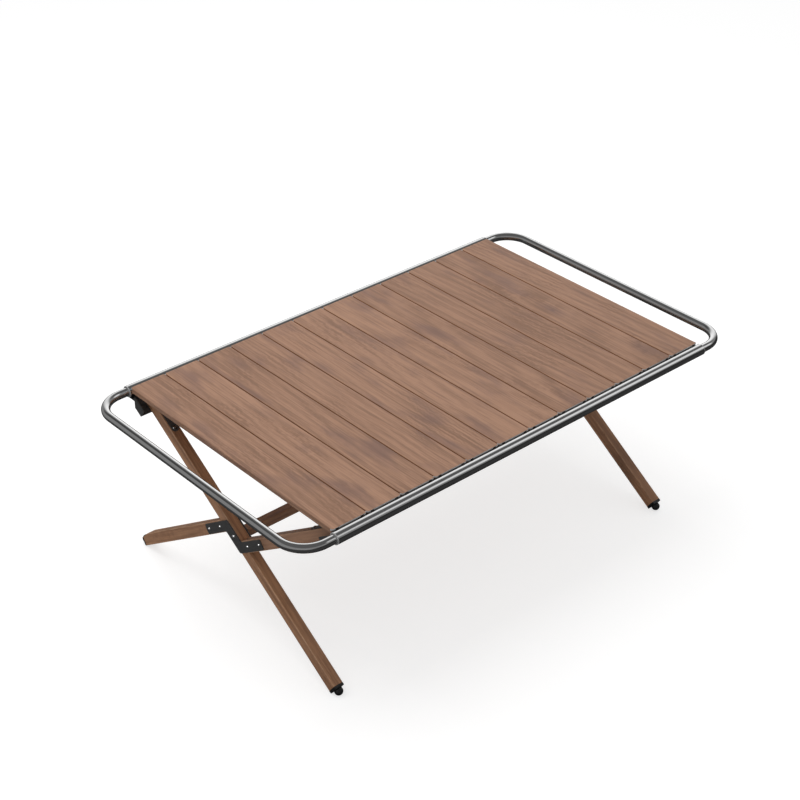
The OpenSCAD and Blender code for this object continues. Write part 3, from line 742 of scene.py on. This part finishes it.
def make_foot_plate(edge, side):
    node = f"{edge}_{side}_foot_plate"
    low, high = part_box(node)
    centre, up_leg, over_leg = foot_frame(edge, side)
    top = leg_depth / 2 if edge == "near" else leg_depth / 2 - foot_bevel
    depth = top + leg_depth / 2
    size = Matrix.Diagonal((high.x - low.x, plate_high - plate_low, depth, 1))
    bm = bmesh.new()
    bmesh.ops.create_cube(bm, size=1.0, matrix=size)
    uprights = [e for e in bm.edges if abs(e.verts[0].co.y - e.verts[1].co.y) > 1e-4]
    soften(bm, uprights, leg_edge_radius, 4)
    soften(bm, [e for e in bm.edges if max(v.co.y for v in e.verts) < 0], 0.0007)
    middle = centre + up_leg * (plate_low + plate_high) / 2 + over_leg * (top - depth / 2)
    turn = Matrix((Vector((1, 0, 0)), up_leg, over_leg)).transposed().to_4x4()
    bmesh.ops.transform(bm, matrix=Matrix.Translation(middle) @ turn, verts=bm.verts[:])
    return stand_for(keep_piece(f"{edge}_{side}_end_plate", bm, "black_steel", "foot_rubber"), node)


end_plates = [make_foot_plate(*corner) for corner in corners_of_table]
print("foot plates:", len(end_plates), "of", round(1000 * (plate_high - plate_low), 1), "mm")

# %% [markdown]
# Each slat end is closed by a thin grey band that follows the round corners, and two black pads on
# it keep the wood off the steel. The band starts as one vertex: it is spun round the first corner,
# drawn out along the end, spun round the second corner and pulled up, and then gets its thickness.

# %% Bands and pads on the slat ends
slat_corner = 0.005
lip_depth = 0.0045
band_out = 0.00015
pad_size = (0.008, 0.0008, 0.0034, 1)
pad_inset = 0.012


def make_end_bands(number):
    node = f"slat_{number:02d}"
    low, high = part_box(node)
    bm = bmesh.new()
    for sign in (-1, 1):
        end_y = high.y if sign > 0 else low.y
        turn_y = end_y - sign * slat_corner
        foot_z = high.z - lip_depth + 0.0001
        turn = {"axis": (0, 0, 1), "dvec": (0, 0, 0), "angle": -sign * math.radians(90), "steps": 5}
        start = bm.verts.new((low.x - band_out, turn_y, foot_z))
        bmesh.ops.spin(bm, geom=[start], cent=(low.x + slat_corner, turn_y, foot_z), **turn)
        reach = max((v for v in bm.verts if v.co.y * sign > turn_y * sign), key=lambda v: v.co.x)
        made = bmesh.ops.extrude_vert_indiv(bm, verts=[reach])
        bmesh.ops.translate(bm, verts=made["verts"], vec=(high.x - low.x - 2 * slat_corner, 0, 0))
        bmesh.ops.spin(bm, geom=made["verts"], cent=(high.x - slat_corner, turn_y, foot_z), **turn)
    made = bmesh.ops.extrude_edge_only(bm, edges=bm.edges[:])
    rise = [v for v in made["geom"] if isinstance(v, bmesh.types.BMVert)]
    bmesh.ops.translate(bm, verts=rise, vec=(0, 0, lip_depth - 0.0004))
    band = keep_piece(f"slat_{number:02d}_end_bands", bm, "black_plastic", "grey_plastic")
    wall = band.modifiers.new("band thickness", "SOLIDIFY")
    wall.thickness = 0.0003
    wall.offset = 0.0
    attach(band, body_of[node])
    return band


def make_end_pads(number):
    node = f"slat_{number:02d}"
    low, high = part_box(node)
    bm = bmesh.new()
    size = Matrix.Diagonal(pad_size)
    for y in (low.y, high.y):
        for x in (low.x + pad_inset, high.x - pad_inset):
            spot = Matrix.Translation((x, y, high.z - lip_depth / 2))
            bmesh.ops.create_cube(bm, size=1.0, matrix=spot @ size)
    soften(bm, bm.edges[:], 0.0003)
    pads = keep_piece(f"slat_{number:02d}_end_pads", bm, "black_plastic")
    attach(pads, body_of[node])
    return pads


slat_ends = [make(number) for make in (make_end_bands, make_end_pads) for number in range(1, 13)]
print("slat end pieces:", len(slat_ends))

# %% [markdown]
# The elastic cords run inside the slats and only show where a seam opens as the top is rolled up.
# So each cord is made as one short length per seam, with enough rings to bend.

# %% Elastic cords
cord_radius = 0.0024
cord_reach = 0.012
seam_half = 0.0005


def make_cord_length(edge, number):
    node = f"{edge}_cord"
    low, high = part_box(node)
    seam_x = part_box(f"slat_{number + 1:02d}")[0].x - seam_half
    middle = Vector((seam_x, (low.y + high.y) / 2, (low.z + high.z) / 2))
    rings = 12
    half = [(-cord_reach + 2 * cord_reach * i / rings, cord_radius) for i in range(rings + 1)]
    outline = [(-cord_reach, 0)] + half + [(cord_reach, 0)]
    bm = turn_profile(bmesh.new(), outline, middle, (1, 0, 0), steps=14)
    piece = keep_piece(f"{edge}_cord_{number:02d}", bm, "cord")
    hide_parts(node)
    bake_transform(piece)
    return piece


cords = [make_cord_length(edge, number) for edge in ("near", "far") for number in range(1, 12)]
print("cord lengths:", len(cords))

# %% [markdown]
# Each cord ends in a knot that sits in a pocket under the end slat. Two rings of cord set across
# each other look like an overhand knot from below.

# %% Cord knots
def make_knots(side):
    node = f"{side}_cord_knots"
    low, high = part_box(node)
    bm = bmesh.new()
    strand = 0.0014
    loop = (high.x - low.x) / 2 - strand
    circle = [(strand * math.cos(a), loop + strand * math.sin(a)) for a in
              (math.tau * i / 10 for i in range(10))]
    for y in (low.y + loop + strand, high.y - loop - strand):
        centre = Vector(((low.x + high.x) / 2, y, (low.z + high.z) / 2))
        for axis in ((1, 0.5, 0), (0.3, -0.6, 1)):
            turn_profile(bm, circle, centre, axis, steps=20)
    return stand_for(keep_piece(f"{side}_knot_pair", bm, "cord"), node)


knots = [make_knots(side) for side in ("left", "right")]
print("knot pairs:", len(knots))

# %% [markdown]
# The picture has a plain white studio with a soft, very pale shadow under the table. The floor is a
# sheet that takes the shadow. To the camera it adds a glow of its own, so the paper comes out white
# and the shadow stays faint, without more light on the table. Polished steel looks like what it
# mirrors, and in the picture that is a dark floor, grey only behind the left end, so that is what
# rays that come from metal find.

# %% Floor
floor_bm = bmesh.new()
bmesh.ops.create_grid(floor_bm, x_segments=1, y_segments=1, size=20)
floor_mesh = bpy.data.meshes.new("floor")
floor_bm.to_mesh(floor_mesh)
floor_bm.free()
floor = bpy.data.objects.new("floor", floor_mesh)
bpy.context.scene.collection.objects.link(floor)
floor_finish, floor_tree, floor_shader = start_finish("studio floor")
seen = add_node(floor_tree, "ShaderNodeLightPath")
pale, grey, dim, dark = ((tone, tone, tone, 1) for tone in (0.93, 0.48, 0.38, 0.05))
floor_spot = add_node(floor_tree, "ShaderNodeTexCoord").outputs["Object"]
floor_xyz = add_node(floor_tree, "ShaderNodeSeparateXYZ", {0: floor_spot}).outputs
behind_left = sum_of(floor_tree, "SUBTRACT", floor_xyz[1], floor_xyz[0])
mirrored = mix_colours(floor_tree, fade(floor_tree, behind_left, 1.6, 5.2, 0.0, 1.0), dark, dim)
paper = mix_colours(floor_tree, seen.outputs["Is Camera Ray"], pale, grey)
paper = mix_colours(floor_tree, seen.outputs["Is Glossy Ray"], paper, mirrored)
glow = sum_of(floor_tree, "MULTIPLY", seen.outputs["Is Camera Ray"], 0.67)
floor_tree.links.new(paper, floor_shader.inputs["Base Color"])
floor_tree.links.new(glow, floor_shader.inputs["Emission Strength"])
floor_shader.inputs["Emission Color"].default_value = (1, 1, 1, 1)
floor_shader.inputs["Roughness"].default_value = 0.9
floor_shader.inputs["Specular IOR Level"].default_value = 0.0
floor_mesh.materials.append(floor_finish)
print("floor laid")

# %% [markdown]
# The world lights the table evenly and is white behind it. For rays that come from shiny metal it is
# a room: grey walls, darker under the ceiling, at the foot of the front right corner and at a door
# behind the table, with one wide bright window behind on the right and a small one in front on the
# right. Each of them is a soft round spot about one direction.

# %% World
world = bpy.data.worlds.new("studio")
bpy.context.scene.world = world
world.use_nodes = True
sky = world.node_tree
look = add_node(sky, "ShaderNodeLightPath")
aim = add_node(sky, "ShaderNodeTexCoord").outputs["Generated"]


def window(direction, rim_cosine, core_cosine, strength):
    towards = add_node(sky, "ShaderNodeVectorMath", {0: aim, 1: direction}, operation="DOT_PRODUCT")
    return fade(sky, towards.outputs["Value"], rim_cosine, core_cosine, 0.0, strength)


height = add_node(sky, "ShaderNodeSeparateXYZ", {0: aim}).outputs[2]
room = fade(sky, height, 0.5, 0.72, 0.26, 0.11)
front_right = window((0.7, -0.714, 0.0), 0.2, 0.8, 1.0)
foot_shade = sum_of(sky, "MULTIPLY", front_right, fade(sky, height, 0.08, 0.45, 0.92, 0.0))
room = sum_of(sky, "MULTIPLY", room, sum_of(sky, "SUBTRACT", 1.0, foot_shade))
door_shade = window((-0.2, 0.8, 0.56), 0.945, 0.985, 0.6)
room = sum_of(sky, "MULTIPLY", room, sum_of(sky, "SUBTRACT", 1.0, door_shade))
room = sum_of(sky, "MAXIMUM", room, window((0.684, 0.708, 0.174), 0.7, 1.0, 1.18))
room = sum_of(sky, "MAXIMUM", room, window((0.66, -0.45, 0.6), 0.945, 0.99, 0.88))
even_light = 0.58
from_metal = look.outputs["Is Glossy Ray"]
shiny = add_node(sky, "ShaderNodeMix", {0: from_metal, 2: even_light, 3: room}).outputs[0]
plain = sum_of(sky, "MAXIMUM", look.outputs["Is Camera Ray"], look.outputs["Is Transmission Ray"])
strength = add_node(sky, "ShaderNodeMix", {0: plain, 2: shiny, 3: 1.0}).outputs[0]
sky.links.new(strength, sky.nodes["Background"].inputs["Strength"])
sky.nodes["Background"].inputs["Color"].default_value = (1, 1, 1, 1)
print("world: even light", even_light)

# %% [markdown]
# One wide softbox above, a little behind, gives the tops of things their light and the floor its soft
# shadow. It doesn't show in the steel, which has the room's windows.

# %% Softbox
lamp_data = bpy.data.lights.new("softbox", "AREA")
lamp_data.size = 2.6
lamp_data.energy = 48
lamp = bpy.data.objects.new("softbox", lamp_data)
lamp.location = (-0.4, 0.8, 3.0)
lamp.rotation_euler = (math.radians(-15), math.radians(-8), 0)
lamp.visible_glossy = False
bpy.context.scene.collection.objects.link(lamp)
print("softbox of", lamp_data.energy, "W")

# %% [markdown]
# A photographer puts a sparkle on small round heads with a lamp that lights nothing else. This one
# stands on the left, shows in shiny surfaces only, and is linked to the rivets, bolts and ball feet.

# %% Sparkle lamp
round_heads = bpy.data.collections.new("round heads")
for piece in fasteners + strap_bolts + feet:
    round_heads.objects.link(piece)
sparkle_data = bpy.data.lights.new("sparkle", "AREA")
sparkle_data.size = 1.1
sparkle_data.energy = 15
sparkle = bpy.data.objects.new("sparkle", sparkle_data)
sparkle.location = (-2.14, 0.22, 1.65)
towards_hinge = Vector((-0.487, 0, 0.22)) - sparkle.location
sparkle.rotation_euler = towards_hinge.to_track_quat("-Z", "Y").to_euler()
sparkle.visible_diffuse = False
sparkle.light_linking.receiver_collection = round_heads
bpy.context.scene.collection.objects.link(sparkle)
